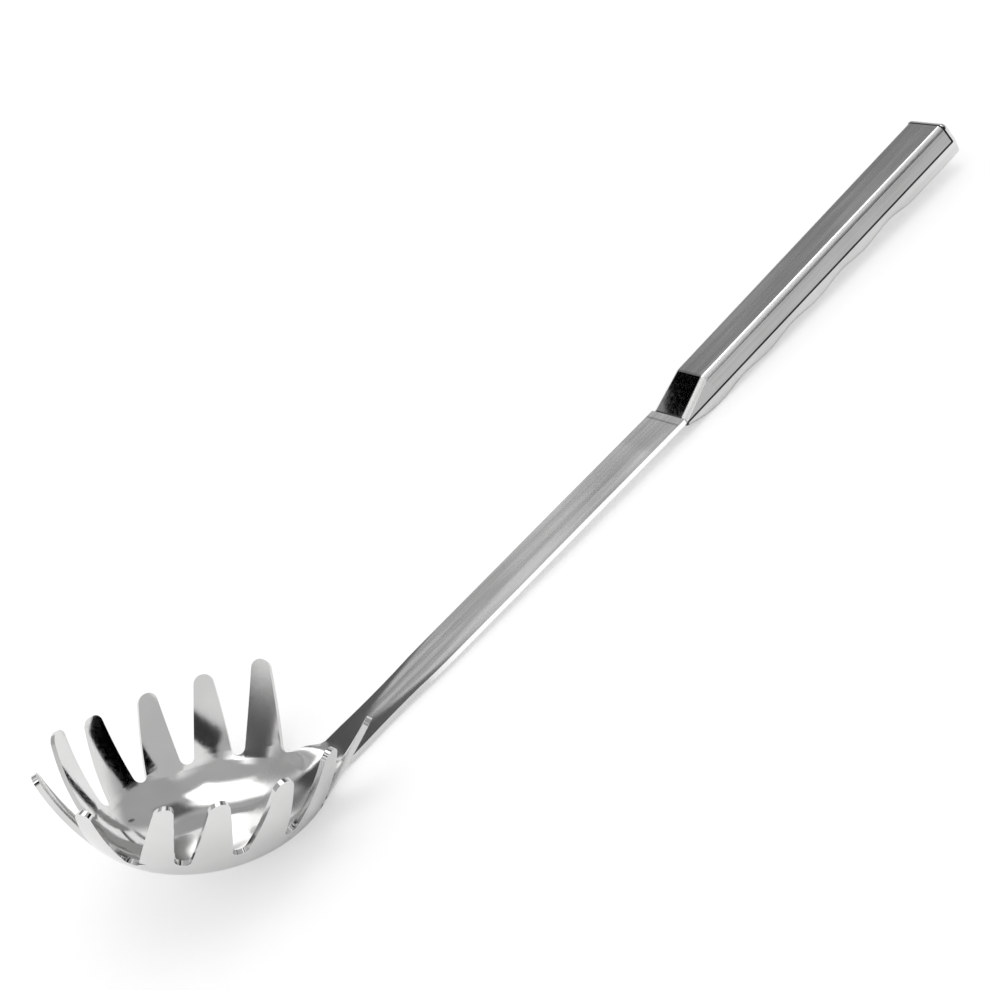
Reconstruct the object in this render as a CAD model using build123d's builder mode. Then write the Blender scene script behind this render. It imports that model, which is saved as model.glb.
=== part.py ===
from build123d import *
import math
import os

# Pasta server in polished stainless steel, in millimetres and degrees.
# It is drawn with the bowl level: +Z is up the bowl's axis, +X runs back to the handle,
# and the level of the gaps' bottoms is zero. The last step lays it down as it rests on a table.

# Bowl, pressed from sheet
sheet = 1.5
rim_radius = 31.5
bowl_depth = 10.4
rim_slope = 50.0
wall_bands = 8

# Tines, six on each side of the shaft's middle plane, counted from the front
tine_pitch = 26.0
tine_tip_width = 5.0
tine_tip_rounding = 2.3
tine_bend_radius = 70.7
tine_bend_turn = 21.0
back_bend_radius = 289.0
back_bend_turn = 6.0
bend_bands = 4
gap_bottom_radius = 2.1
neck_gap_turn = 158.0
neck_gap_radius = 3.0
neck_gap_rise = 1.1
shoulder_reach = 5.0
shoulder_rise = 2.0
tine_tip_turns = (22.5, 54.5, 72.5, 96.0, 118.0, 138.5)
tine_lengths = (23.6, 25.2, 23.2, 23.2, 24.4, 27.6)

# Shaft, a flat strip that runs on into the handle as a tang
shaft_width = 16.4
shaft_slope = 25.6
shaft_length = 159.8
shaft_edge_rounding = 0.5
shaft_edge_start = 14.0
tang_width = 12.6
tang_length = 38.0

# Handle, two pressed shells on a seam plane at the shaft's underside
handle_tilt = 1.6
handle_length = 126.0
handle_front_width = 16.4
handle_end_width = 17.8
handle_top_height = 6.2
handle_wall = 1.0
handle_side_draft = 9.0
handle_ridge_radius = 1.7
step_length = 13.4
end_cap_depth = 1.6
end_cap_rounding = 1.2
lower_shell_proud = 0.35
grip_front_depth = 1.2
grip_crest_depth = 4.4
grip_hollow_depth = 3.4
grip_end_depth = 5.1
grip_pitch = 22.5
grip_first_crest = 13.0
grip_hollows = 4
grip_bottom_radius = 2.6
grip_side_draft = 12.0
grip_wave_sections = 8
grip_nose_shares = (0.0, 0.1, 0.2, 0.35, 0.5, 0.65, 0.82)
grip_bottom_share = 0.6
fit_clearance = 0.15

overrun = 4.0 * sheet


def radial(radius, turn, height):
    """Gives a point by its distance from the bowl's axis, its turn from the front and its height."""
    angle = math.radians(180.0 - turn)
    return Vector(radius * math.cos(angle), radius * math.sin(angle), height)


def wall_point(bend_radius, length, depth):
    """Gives the radius and height of a point on a tine, so far along its bend, so deep in the sheet."""
    start = math.radians(rim_slope)
    end = start + length / bend_radius
    centre_radius = rim_radius - bend_radius * math.sin(start)
    centre_height = bend_radius * math.cos(start)
    swing = bend_radius + depth
    return centre_radius + swing * math.sin(end), centre_height - swing * math.cos(end)


def wall_plane(turn, radius, height, slope):
    """Gives the plane that lies on the bowl's wall at a place, with y up the wall and z outwards."""
    out = radial(1.0, turn, 0.0)
    lean = math.radians(slope)
    normal = out * math.sin(lean) - Vector(0, 0, math.cos(lean))
    along = Vector(0, 0, 1).cross(out)
    return Plane(origin=radial(radius, turn, height), x_dir=along, z_dir=normal)


def wall_points(depth):
    """Gives the bowl's profile from its floor up to the rim, in straight bands along an arc."""
    radius = arc_radius + depth
    turns = [math.radians(rim_slope * band / wall_bands) for band in range(wall_bands + 1)]
    top = arc_radius - bowl_depth
    return [(floor_radius + radius * math.sin(turn), top - radius * math.cos(turn)) for turn in turns]


def bowl_sector(bend_radius, bend_turn, sweep):
    """Revolves the sheet's profile, floor, wall and tine bend, through a sector about the axis."""
    reach = bend_radius * math.radians(bend_turn)
    lengths = [reach * band / bend_bands for band in range(1, bend_bands + 1)]
    inside = wall_points(0) + [wall_point(bend_radius, length, 0) for length in lengths]
    outside = wall_points(sheet) + [wall_point(bend_radius, length, sheet) for length in lengths]
    with BuildPart() as sector:
        with BuildSketch(Plane.XZ):
            with BuildLine():
                Polyline((0, -bowl_depth), *inside, *reversed(outside), (0, -bowl_depth - sheet), close=True)
            make_face()
        revolve(axis=Axis.Z, revolution_arc=sweep)
    return sector.part


def tip_place(index, side, depth):
    """Gives the middle of a tine's tip, on the sheet's inside at no depth."""
    bend_radius = back_bend_radius if index == len(tine_lengths) - 1 else tine_bend_radius
    radius, height = wall_point(bend_radius, tine_lengths[index], depth)
    return radial(radius, side * tine_tip_turns[index], height)


def tip_corner(index, side, hand):
    """Gives the corner of a square tip on one hand of a tine, before it is rounded."""
    middle = tip_place(index, side, sheet / 2.0)
    across = Vector(0, 0, 1).cross(radial(1.0, side * tine_tip_turns[index], 0.0))
    return middle + across * (hand * tine_tip_width / 2.0)


def tangent_from(corner, centre, radius, hand):
    """Gives the point where a line from a corner touches a circle, on one hand of it."""
    reach = corner - centre
    swing = math.acos(radius / reach.length)
    angle = math.atan2(reach.Y, reach.X) - hand * swing
    return centre + Vector(radius * math.cos(angle), radius * math.sin(angle), 0)


def gap_outline(plane, low_corner, high_corner, radius):
    """Draws a gap between two tines: a round bottom at the rim and sides that run past the tips."""
    centre = Vector(0, radius, 0)
    right = plane.to_local_coords(low_corner)
    left = plane.to_local_coords(high_corner)
    right = Vector(right.X, right.Y, 0)
    left = Vector(left.X, left.Y, 0)
    right_touch = tangent_from(right, centre, radius, 1)
    left_touch = tangent_from(left, centre, radius, -1)
    right_end = right + (right - right_touch).normalized() * tine_overrun
    left_end = left + (left - left_touch).normalized() * tine_overrun
    with BuildSketch(plane) as outline:
        with BuildLine():
            ThreePointArc(left_touch, (0, 0), right_touch)
            Polyline(right_touch, right_end, left_end, left_touch)
        make_face()
    return outline.sketch


# Places that follow from the sizes
tine_overrun = tine_lengths[-1] / 2.0
tine_reach = rim_radius + tine_lengths[-1]
gap_slope = rim_slope + tine_bend_turn / 4.0
arc_radius = bowl_depth / (1.0 - math.cos(math.radians(rim_slope)))
floor_radius = rim_radius - arc_radius * math.sin(math.radians(rim_slope))
shaft_turn = math.radians(shaft_slope)
root_bands = round(shaft_slope * wall_bands / rim_slope)
shaft_root = Vector(wall_points(0)[root_bands][0], 0, wall_points(0)[root_bands][1])
shaft_plane = Plane(
    origin=shaft_root,
    x_dir=(math.cos(shaft_turn), 0, math.sin(shaft_turn)),
    z_dir=(0, -1, 0),
)
seam_turn = math.radians(shaft_slope + handle_tilt)
seam_origin = shaft_plane.from_local_coords(Vector(shaft_length, -sheet, 0))
seam_plane = Plane(
    origin=seam_origin,
    x_dir=(math.cos(seam_turn), 0, math.sin(seam_turn)),
    z_dir=(-math.sin(seam_turn), 0, math.cos(seam_turn)),
)

# Bowl: the front sector bends its tines up more than the back one, which has a tine on each side
gap_count = len(tine_lengths) - 1
back_turn = gap_count * tine_pitch
front_sector = bowl_sector(tine_bend_radius, tine_bend_turn, 2.0 * back_turn)
back_sector = bowl_sector(back_bend_radius, back_bend_turn, 360.0 - 2.0 * back_turn)

# Gaps between neighbouring tines, cut square through the wall
front_plane = wall_plane(0, rim_radius, 0, gap_slope)
front_gap = gap_outline(front_plane, tip_corner(0, -1, -1), tip_corner(0, 1, 1), gap_bottom_radius)
side_gaps = []
for gap in range(1, gap_count + 1):
    plane = wall_plane(gap * tine_pitch, rim_radius, 0, gap_slope)
    low = tip_corner(gap - 1, 1, -1)
    high = tip_corner(gap, 1, 1)
    side_gaps.append(gap_outline(plane, low, high, gap_bottom_radius))

# Gap beside the shaft: the rim rises from it to a shoulder at the shaft's edge
neck_plane = wall_plane(neck_gap_turn, rim_radius, 0, gap_slope)
neck_corner = neck_plane.to_local_coords(tip_corner(gap_count, 1, -1))
neck_corner = Vector(neck_corner.X, neck_corner.Y, 0)
neck_centre = Vector(0, neck_gap_rise + neck_gap_radius, 0)
neck_touch = tangent_from(neck_corner, neck_centre, neck_gap_radius, 1)
neck_top = neck_corner + (neck_corner - neck_touch).normalized() * tine_overrun
neck_bottom = Vector(0, neck_gap_rise, 0)
shoulder = Vector(-shoulder_reach, shoulder_rise, 0)
with BuildSketch(neck_plane) as neck_gap:
    with BuildLine():
        RadiusArc(neck_bottom, neck_touch, -neck_gap_radius)
        Polyline(neck_touch, neck_top, (-tine_reach, neck_top.Y), (-tine_reach, shoulder_rise), shoulder)
        Spline(shoulder, neck_bottom, tangents=((1, 0), (1, 0)))
    make_face()

# Tips: each tine is cut square to its length, and its corners are rounded
tip_cuts = []
for index in range(len(tine_lengths)):
    bend = back_bend_radius if index == gap_count else tine_bend_radius
    slope = rim_slope + math.degrees(tine_lengths[index] / bend)
    middle = tip_place(index, 1, sheet / 2.0)
    tip_plane = wall_plane(tine_tip_turns[index], math.hypot(middle.X, middle.Y), middle.Z, slope)
    with BuildSketch(tip_plane) as tip_cut:
        with Locations((0, tine_overrun / 2.0)):
            Rectangle(2.0 * tine_tip_width, tine_overrun)
    tip_cuts.append(tip_cut.sketch)

corners = [tip_corner(index, 1, hand) for index in range(len(tine_lengths)) for hand in (-1, 1)]
corners += [Vector(corner.X, -corner.Y, corner.Z) for corner in corners]


def is_tip_corner(edge):
    """Tells whether an edge is a tine's corner, which runs through the sheet."""
    near = min((edge.center() - corner).length for corner in corners)
    return near < sheet and edge.length < 2.0 * sheet


# Neck and shaft: the sheet leaves the bowl's floor along its own arc and runs on straight as a strip
root_low = shaft_plane.from_local_coords(Vector(0, -sheet, 0))
inside = [(0, -bowl_depth)] + wall_points(0)[: root_bands + 1]
outside = [(0, -bowl_depth - sheet)] + wall_points(sheet)[:root_bands] + [(root_low.X, root_low.Z)]
run = Vector(math.cos(shaft_turn), math.sin(shaft_turn), 0)
with BuildPart() as shaft_band:
    with BuildSketch(shaft_plane):
        with Locations(((shaft_edge_start + shaft_length) / 2.0, -sheet / 2.0)):
            Rectangle(shaft_length - shaft_edge_start, sheet)
    extrude(amount=shaft_width / 2.0, both=True)
    fillet(shaft_band.edges().filter_by(lambda edge: edge.length > rim_radius), radius=shaft_edge_rounding)
    with BuildSketch(Plane.XZ):
        with BuildLine():
            run_in = Line(inside[-1], Vector(*inside[-1]) + run * shaft_edge_start)
            run_out = Line(outside[-1], Vector(*outside[-1]) + run * shaft_edge_start)
            Line(run_in @ 1, run_out @ 1)
            Polyline(*reversed(inside), *outside)
        make_face()
    extrude(amount=shaft_width / 2.0, both=True)
    with BuildSketch(shaft_plane):
        with Locations((shaft_length + tang_length / 2.0, -sheet / 2.0)):
            Rectangle(tang_length, sheet)
    extrude(amount=tang_width / 2.0, both=True)

with BuildPart() as neck_space:
    with BuildSketch(Plane.XZ):
        with Locations((tine_reach, 0)):
            Rectangle(2.0 * tine_reach, 2.0 * tine_reach)
    extrude(amount=shaft_width / 2.0, both=True)

with BuildPart() as cutters:
    for sketch in side_gaps + tip_cuts:
        extrude(sketch, amount=overrun, both=True)
with BuildPart() as neck_cutter:
    extrude(neck_gap.sketch, amount=overrun, both=True)
    with BuildSketch(Plane.XZ):
        Rectangle(4.0 * tine_reach, 4.0 * tine_reach)
    extrude(amount=shaft_width / 2.0, both=True, mode=Mode.SUBTRACT)

with BuildPart() as bowl_and_shaft:
    add(front_sector, rotation=(0, 0, 180.0 - back_turn))
    add(back_sector, rotation=(0, 0, back_turn - 180.0))
    extrude(front_gap, amount=overrun, both=True, mode=Mode.SUBTRACT)
    for cutter in (cutters, neck_cutter):
        add(cutter.part, mode=Mode.SUBTRACT)
        add(cutter.part.mirror(Plane.XZ), mode=Mode.SUBTRACT)
    fillet(bowl_and_shaft.edges().filter_by(is_tip_corner), radius=tine_tip_rounding)
    add(neck_space.part, mode=Mode.SUBTRACT)
    add(shaft_band.part)

# Handle: the upper shell is a channel with drafted sides, a flat top and a sloped front
shell_end = handle_length - end_cap_depth


def half_width(place):
    """Gives half of the upper shell's width on the seam plane at a place along the handle."""
    return handle_front_width / 2.0 + (handle_end_width - handle_front_width) / 2.0 * place / handle_length


def upper_block(inset):
    """Makes the upper shell's solid form, drawn in from its outside by an inset."""
    front = half_width(0) - inset
    end = half_width(shell_end) - inset
    step_rise = math.atan2(handle_top_height - sheet, step_length)
    foot = inset / math.sin(step_rise)
    back = shell_end - fit_clearance + inset
    with BuildPart() as block:
        with BuildSketch():
            with BuildLine():
                Polyline((0, -front), (back, -end), (back, end), (0, front), close=True)
            make_face()
        extrude(amount=handle_top_height - inset, taper=handle_side_draft)
        with BuildSketch(Plane.XZ):
            with BuildLine():
                Polyline(
                    (0, -inset),
                    (0, sheet - foot * math.tan(step_rise)),
                    (step_length + foot, handle_top_height),
                    (shell_end - fit_clearance, handle_top_height),
                    (shell_end - fit_clearance, -inset),
                    close=True,
                )
            make_face()
        extrude(amount=handle_end_width, both=True, mode=Mode.INTERSECT)
        ridges = block.edges().filter_by(
            lambda edge: edge.center().Z > sheet
            and abs(edge.center().Y) > tang_width / 4.0
            and edge.length > step_length / 2.0
        )
        fillet(ridges, radius=handle_ridge_radius - inset / 2.0)
    return block.part


def grip_depth(place):
    """Gives the lower shell's depth at a place: a rising nose, waves for the fingers and a deep end."""
    if place < grip_first_crest:
        rise = math.sin(math.pi / 2.0 * place / grip_first_crest)
        return grip_front_depth + (grip_crest_depth - grip_front_depth) * rise
    last_hollow = grip_first_crest + (grip_hollows - 0.5) * grip_pitch
    crest = grip_crest_depth if place < last_hollow else grip_end_depth
    if place > last_hollow + grip_pitch / 2.0:
        return grip_end_depth
    swing = 0.5 - 0.5 * math.cos(2.0 * math.pi * (place - grip_first_crest) / grip_pitch)
    return crest + (grip_hollow_depth - crest) * swing


def grip_places(inset):
    """Gives the places of the lower shell's sections: close on the nose, then evenly along the waves."""
    nose = [inset + (grip_first_crest - inset) * share for share in grip_nose_shares]
    spacing = grip_pitch / grip_wave_sections
    count = math.floor((handle_length - inset - grip_first_crest) / spacing)
    return nose + [grip_first_crest + index * spacing for index in range(count)] + [handle_length - inset]


def grip_section(place, inset):
    """Draws the lower shell's section at a place: drafted sides and rounded bottom corners."""
    wide = half_width(place) + lower_shell_proud - inset
    depth = grip_depth(place) - inset
    low = wide - depth * math.tan(math.radians(grip_side_draft))
    with BuildSketch(Plane(origin=(place, 0, 0), x_dir=(0, 1, 0), z_dir=(1, 0, 0))) as section:
        with BuildLine():
            Polyline((-wide, 0), (wide, 0), (low, -depth), (-low, -depth), close=True)
        make_face()
        corner = min(grip_bottom_radius - inset / 2.0, grip_bottom_share * depth)
        fillet(section.vertices().group_by(Axis.Y)[0], radius=corner)
    return section.sketch


def grip_form(inset):
    """Makes the lower shell's solid form, drawn in from its outside by an inset."""
    with BuildPart() as form:
        loft([grip_section(place, inset) for place in grip_places(inset)], ruled=True)
    return form.part


# Room for the shaft's end and its tang between the shells
with BuildPart() as tang_space:
    with BuildSketch(shaft_plane):
        with Locations((shaft_length + (tang_length + fit_clearance) / 2.0, -sheet / 2.0)):
            Rectangle(tang_length + fit_clearance, sheet + 2.0 * fit_clearance)
    extrude(amount=tang_width / 2.0 + fit_clearance, both=True)
    with BuildSketch(shaft_plane):
        with Locations((shaft_length + fit_clearance - overrun / 2.0, -sheet / 2.0)):
            Rectangle(overrun, sheet + 2.0 * fit_clearance)
    extrude(amount=shaft_width, both=True)
tang_room = tang_space.part.moved(seam_plane.location.inverse())

with BuildPart() as handle_upper_shell:
    add(upper_block(0))
    add(upper_block(handle_wall), mode=Mode.SUBTRACT)
    add(tang_room, mode=Mode.SUBTRACT)


def cap_section(place):
    """Draws the lower shell's cap at a place: it stands behind the upper shell's end, as high as its top."""
    wide = half_width(place) + lower_shell_proud
    high = wide - handle_top_height * math.tan(math.radians(handle_side_draft))
    with BuildSketch(Plane(origin=(place, 0, 0), x_dir=(0, 1, 0), z_dir=(1, 0, 0))) as section:
        with BuildLine():
            Polyline((-wide, 0), (wide, 0), (high, handle_top_height), (-high, handle_top_height), close=True)
        make_face()
        fillet(section.vertices().group_by(Axis.Y)[-1], radius=handle_ridge_radius)
    return section.sketch


with BuildPart() as handle_lower_shell:
    add(grip_form(0))
    loft([cap_section(shell_end), cap_section(handle_length)])
    add(grip_form(handle_wall), mode=Mode.SUBTRACT)
    add(tang_room, mode=Mode.SUBTRACT)
    end_edges = handle_lower_shell.faces().sort_by(Axis.X)[-1].outer_wire().edges().sort_by(Axis.Z)
    fillet([end_edges[0], end_edges[-1]], radius=end_cap_rounding)

# At rest the server lies on the back of its bowl and on the lower shell's first low point
arc_centre = Vector(floor_radius, 0, arc_radius - bowl_depth)
rest_turns = []
for place in grip_places(0):
    reach = seam_plane.from_local_coords(Vector(place, 0, -grip_depth(place))) - arc_centre
    rest_turns.append(math.atan2(reach.Z, reach.X) + math.asin((arc_radius + sheet) / reach.length))
laid = Rot(0, math.degrees(min(rest_turns)), 0)
pieces = {
    "bowl_and_shaft": bowl_and_shaft.part.moved(laid),
    "handle_upper_shell": handle_upper_shell.part.moved(laid * seam_plane.location),
    "handle_lower_shell": handle_lower_shell.part.moved(laid * seam_plane.location),
}
room = Compound(list(pieces.values())).bounding_box()
grounded = Pos(-room.center().X, -room.center().Y, -room.min.Z)

os.makedirs("parts", exist_ok=True)
for name, piece in pieces.items():
    placed = piece.moved(grounded)
    placed.label = name
    export_step(placed, f"parts/{name}.step")
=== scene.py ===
"""Pasta server in stainless steel: a tined bowl on a flat shaft, and a handle of two shells."""

import logging
import math
from abc import ABC, abstractmethod
from dataclasses import dataclass, field
from enum import Enum
from typing import Callable, Sequence

import bmesh
import bpy
from mathutils import Matrix, Quaternion, Vector


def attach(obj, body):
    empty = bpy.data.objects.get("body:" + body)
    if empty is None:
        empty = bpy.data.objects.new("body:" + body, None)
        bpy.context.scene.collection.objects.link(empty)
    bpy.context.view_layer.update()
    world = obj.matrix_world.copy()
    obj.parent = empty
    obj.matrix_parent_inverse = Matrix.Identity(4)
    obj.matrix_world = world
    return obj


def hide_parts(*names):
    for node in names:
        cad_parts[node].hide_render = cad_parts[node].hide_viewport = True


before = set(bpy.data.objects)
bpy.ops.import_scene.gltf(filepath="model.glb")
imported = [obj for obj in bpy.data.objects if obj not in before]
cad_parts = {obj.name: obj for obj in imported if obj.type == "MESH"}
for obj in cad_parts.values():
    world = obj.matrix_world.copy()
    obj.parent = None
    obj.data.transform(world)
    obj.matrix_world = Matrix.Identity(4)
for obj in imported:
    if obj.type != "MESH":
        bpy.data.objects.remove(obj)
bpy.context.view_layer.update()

logging.basicConfig(level=logging.INFO, format="%(message)s")
LOG = logging.getLogger("pasta_server")

Pair = tuple[float, float]
Place = tuple[float, float, float]
Piece = bpy.types.Object
Material = bpy.types.Material
Socket = bpy.types.NodeSocket
Level = float | Socket

MILLIMETRE = 0.001
WHITE = (1.0, 1.0, 1.0, 1.0)


class Selection(Enum):
    """What an edit-mode selection picks."""

    VERTICES = "VERT"
    EDGES = "EDGE"
    FACES = "FACE"


def smooth_step(value: float) -> float:
    """Eases a value from nought to one, flat at both ends."""
    share = min(max(value, 0.0), 1.0)
    return share * share * (3.0 - 2.0 * share)


def mix(low: float, high: float, share: float) -> float:
    """Gives the value so far on the way from low to high."""
    return low + (high - low) * share


def mix_pair(low: Pair, high: Pair, share: float) -> Pair:
    """Gives the pair so far on the way from low to high."""
    return mix(low[0], high[0], share), mix(low[1], high[1], share)


def along_table(table: Sequence[Pair], place: float) -> float:
    """Reads a smooth curve through a table.

    Args:
        table: pairs of place and value, in rising order of place.
        place: where the curve is read.

    Returns:
        The curve's value, held at the table's ends.
    """
    if place <= table[0][0]:
        return table[0][1]
    if place >= table[-1][0]:
        return table[-1][1]
    last = len(table) - 1
    index = max(number for number in range(last) if table[number][0] <= place)

    def lean(number: int) -> float:
        """Gives the curve's slope at one row of the table."""
        before, after = table[max(number - 1, 0)], table[min(number + 1, last)]
        return (after[1] - before[1]) / (after[0] - before[0])

    (start, low), (end, high) = table[index], table[index + 1]
    span = end - start
    share = (place - start) / span
    square, cube = share**2, share**3
    value = (2 * cube - 3 * square + 1) * low + (3 * square - 2 * cube) * high
    value += (cube - 2 * square + share) * span * lean(index)
    return value + (cube - square) * span * lean(index + 1)


def pick_only(piece: Piece) -> None:
    """Leaves one object selected and active."""
    bpy.ops.object.select_all(action="DESELECT")
    piece.select_set(True)
    bpy.context.view_layer.objects.active = piece


def choose(piece: Piece, kind: Selection, test: Callable[[Sequence[Vector]], bool]) -> None:
    """Selects the parts of a mesh in edit mode whose corners pass a test.

    Args:
        piece: the object in edit mode.
        kind: vertices, edges or faces.
        test: told the places of a part's corners, says whether it is wanted.
    """
    bpy.ops.mesh.select_mode(type=kind.value)
    bpy.ops.mesh.select_all(action="DESELECT")
    shape = bmesh.from_edit_mesh(piece.data)
    if kind is Selection.VERTICES:
        for vertex in shape.verts:
            if test([vertex.co]):
                vertex.select_set(True)
    else:
        for part in shape.edges if kind is Selection.EDGES else shape.faces:
            if test([vertex.co for vertex in part.verts]):
                part.select_set(True)
    shape.select_flush_mode()
    bmesh.update_edit_mesh(piece.data)


def bisect_at(place: float) -> None:
    """Cuts the whole mesh in edit mode across X at a place, and keeps both sides."""
    bpy.ops.mesh.select_mode(type="VERT")
    bpy.ops.mesh.select_all(action="SELECT")
    bpy.ops.mesh.bisect(plane_co=(place, 0, 0), plane_no=(1, 0, 0))


def bevel_chosen(offset: float, segments: int, clamped: bool = True) -> None:
    """Rounds the edges that are selected in edit mode."""
    bpy.ops.mesh.bevel(offset=offset, segments=segments, affect="EDGES", clamp_overlap=clamped)


def close_mesh(piece: Piece, threshold: float) -> None:
    """Merges doubled corners and points all faces the same way."""
    pick_only(piece)
    bpy.ops.object.mode_set(mode="EDIT")
    bpy.ops.mesh.select_all(action="SELECT")
    bpy.ops.mesh.remove_doubles(threshold=threshold)
    bpy.ops.mesh.select_all(action="SELECT")
    bpy.ops.mesh.normals_make_consistent(inside=False)
    bpy.ops.object.mode_set(mode="OBJECT")


def apply_modifier(piece: Piece, kind: str, **settings: object) -> None:
    """Adds a modifier with its settings and applies it.

    Args:
        piece: the object that gets it.
        kind: the modifier's type.
        settings: values for its properties.
    """
    pick_only(piece)
    modifier = piece.modifiers.new(kind.title(), kind)
    for name, value in settings.items():
        setattr(modifier, name, value)
    bpy.ops.object.modifier_apply(modifier=modifier.name)


def open_edges(mesh: bpy.types.Mesh) -> int:
    """Counts the edges that only one face uses."""
    uses: dict[int, int] = {}
    for loop in mesh.loops:
        uses[loop.edge_index] = uses.get(loop.edge_index, 0) + 1
    return sum(1 for count in uses.values() if count == 1)


def shape_grid(name: str, columns: int, rows: int, place: Callable[[int, int], Vector]) -> Piece:
    """Lays a flat grid onto a curved patch.

    Args:
        name: the patch's name.
        columns: faces across.
        rows: faces along.
        place: told a column and a row, gives the corner's place.

    Returns:
        The patch as an object.
    """
    bpy.ops.object.select_all(action="DESELECT")
    bpy.ops.mesh.primitive_grid_add(x_subdivisions=columns, y_subdivisions=rows, size=2.0)
    patch = bpy.context.object
    patch.name = name
    for vertex in patch.data.vertices:
        column = round((vertex.co.x + 1.0) / 2.0 * columns)
        row = round((vertex.co.y + 1.0) / 2.0 * rows)
        vertex.co = place(column, row)
    return patch


def coons(
    low: Sequence[Pair], high: Sequence[Pair], left: Sequence[Pair], right: Sequence[Pair]
) -> Callable[[int, int], Pair]:
    """Fills four curves that meet at their ends with an even net.

    Args:
        low: the first row, from left to right.
        high: the last row, from left to right.
        left: the first column, from low to high.
        right: the last column, from low to high.

    Returns:
        A function that is told a column and a row and gives the pair there.
    """
    columns, rows = len(low) - 1, len(left) - 1

    def inside(column: int, row: int) -> Pair:
        """Gives the net's pair at a column and a row."""
        across, up = column / columns, row / rows
        ruled_up = mix_pair(low[column], high[column], up)
        ruled_across = mix_pair(left[row], right[row], across)
        first, last = mix_pair(low[0], low[-1], across), mix_pair(high[0], high[-1], across)
        corners = mix_pair(first, last, up)
        turn, reach = (
            one + two - both for one, two, both in zip(ruled_up, ruled_across, corners)
        )
        return turn, reach

    return inside


@dataclass(frozen=True)
class RestingPlace:
    """Where the level drawing, in millimetres, comes to lie on the table, in metres."""

    turn: float = 24.26408783589949
    shift: Place = (-135.293, 0.0, 17.3327)
    shaft_slope: float = 25.6
    handle_tilt: float = 1.6
    handle_origin: Place = (166.262, 0.0, 60.022)

    def level(self) -> Matrix:
        """Gives the move from the level drawing to the table."""
        turned = Matrix.Rotation(math.radians(self.turn), 4, "Y")
        return Matrix.Scale(MILLIMETRE, 4) @ Matrix.Translation(self.shift) @ turned

    def handle(self) -> Matrix:
        """Gives the move from the handle's own axes to the table."""
        rise = Matrix.Rotation(-math.radians(self.shaft_slope + self.handle_tilt), 4, "Y")
        return self.level() @ Matrix.Translation(self.handle_origin) @ rise

    @staticmethod
    def settle(piece: Piece, move: Matrix) -> None:
        """Moves a finished mesh to the table, and leaves its object at the origin."""
        pick_only(piece)
        bpy.ops.object.transform_apply(location=True, rotation=True, scale=True)
        piece.data.transform(move)
        piece.data.update()


@dataclass(frozen=True)
class Ease:
    """A range of values, and the range that a smooth step lays it onto."""

    start: float
    end: float
    low: float
    high: float


@dataclass(frozen=True)
class Blotches:
    """Noise, by the length, width and height of its blotches in metres, and its detail."""

    size: Place
    detail: float


@dataclass(frozen=True)
class NodeTree:
    """An emptied node tree, with short ways to add and link nodes."""

    nodes: bpy.types.Nodes
    links: bpy.types.NodeLinks

    @classmethod
    def of(cls, owner: Material | bpy.types.World) -> "NodeTree":
        """Turns on the nodes of a material or a world, and empties its tree."""
        owner.use_nodes = True
        owner.node_tree.nodes.clear()
        return cls(owner.node_tree.nodes, owner.node_tree.links)

    def put(self, socket: Socket, value: object) -> None:
        """Links an output to a socket, or sets the socket's own value."""
        if isinstance(value, Socket):
            self.links.new(value, socket)
        else:
            socket.default_value = value

    def add(self, kind: str, **values: object) -> bpy.types.Node:
        """Adds a node and sets its properties and sockets.

        Args:
            kind: the node's type.
            values: property names, or socket names with spaces written as underscores.

        Returns:
            The new node.
        """
        node = self.nodes.new(kind)
        for name, value in values.items():
            if hasattr(node, name):
                setattr(node, name, value)
            else:
                self.put(node.inputs[name.replace("_", " ")], value)
        return node

    def math(self, operation: str, *values: Level) -> Socket:
        """Adds a math node of one to three values and gives its result."""
        node = self.add("ShaderNodeMath", operation=operation)
        for socket, value in zip(node.inputs, values):
            self.put(socket, value)
        return node.outputs[0]

    def ease(self, value: Socket, ease: Ease) -> Socket:
        """Lays a value onto a new range with eased ends."""
        node = self.add(
            "ShaderNodeMapRange", interpolation_type="SMOOTHSTEP", Value=value,
            From_Min=ease.start, From_Max=ease.end, To_Min=ease.low, To_Max=ease.high,
        )
        return node.outputs["Result"]

    def rise(self, value: Socket, start: float, end: float, high: float = 1.0) -> Socket:
        """Gives a mask that rises from nought, at the start, to its high value at the end."""
        return self.ease(value, Ease(start, end, 0.0, high))

    def fall(self, value: Socket, start: float, end: float, high: float = 1.0) -> Socket:
        """Gives a mask that falls from its high value, at the start, to nought at the end."""
        return self.ease(value, Ease(start, end, high, 0.0))

    def band(self, value: Socket, middle: float, widths: Pair, high: float = 1.0) -> Socket:
        """Gives a mask round one value.

        Args:
            value: the socket that is measured.
            middle: the value in the middle of the band.
            widths: the distance from the middle where the fade starts, and where it ends.
            high: the mask inside the band.

        Returns:
            The mask.
        """
        offset = self.math("ABSOLUTE", self.math("SUBTRACT", value, middle))
        return self.fall(offset, *widths, high)

    def bump(
        self, strength: Level, depth: float, height: Socket,
        under: Socket | None = None,
    ) -> Socket:
        """Adds a bump.

        Args:
            strength: how strong it is.
            depth: its full depth in metres.
            height: the pattern.
            under: the normal that it is laid over, if there is one.

        Returns:
            The bumped normal.
        """
        node = self.add("ShaderNodeBump", Strength=strength, Distance=depth, Height=height)
        if under is not None:
            self.put(node.inputs["Normal"], under)
        return node.outputs["Normal"]

    def blend(self, share: Socket, first: bpy.types.Node, second: bpy.types.Node) -> None:
        """Mixes two shaders by a share of the second, and sends the mix to the output."""
        node = self.add("ShaderNodeMixShader")
        for socket, value in zip(node.inputs, (share, first.outputs[0], second.outputs[0])):
            self.put(socket, value)
        self.add("ShaderNodeOutputMaterial", Surface=node.outputs[0])


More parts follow.
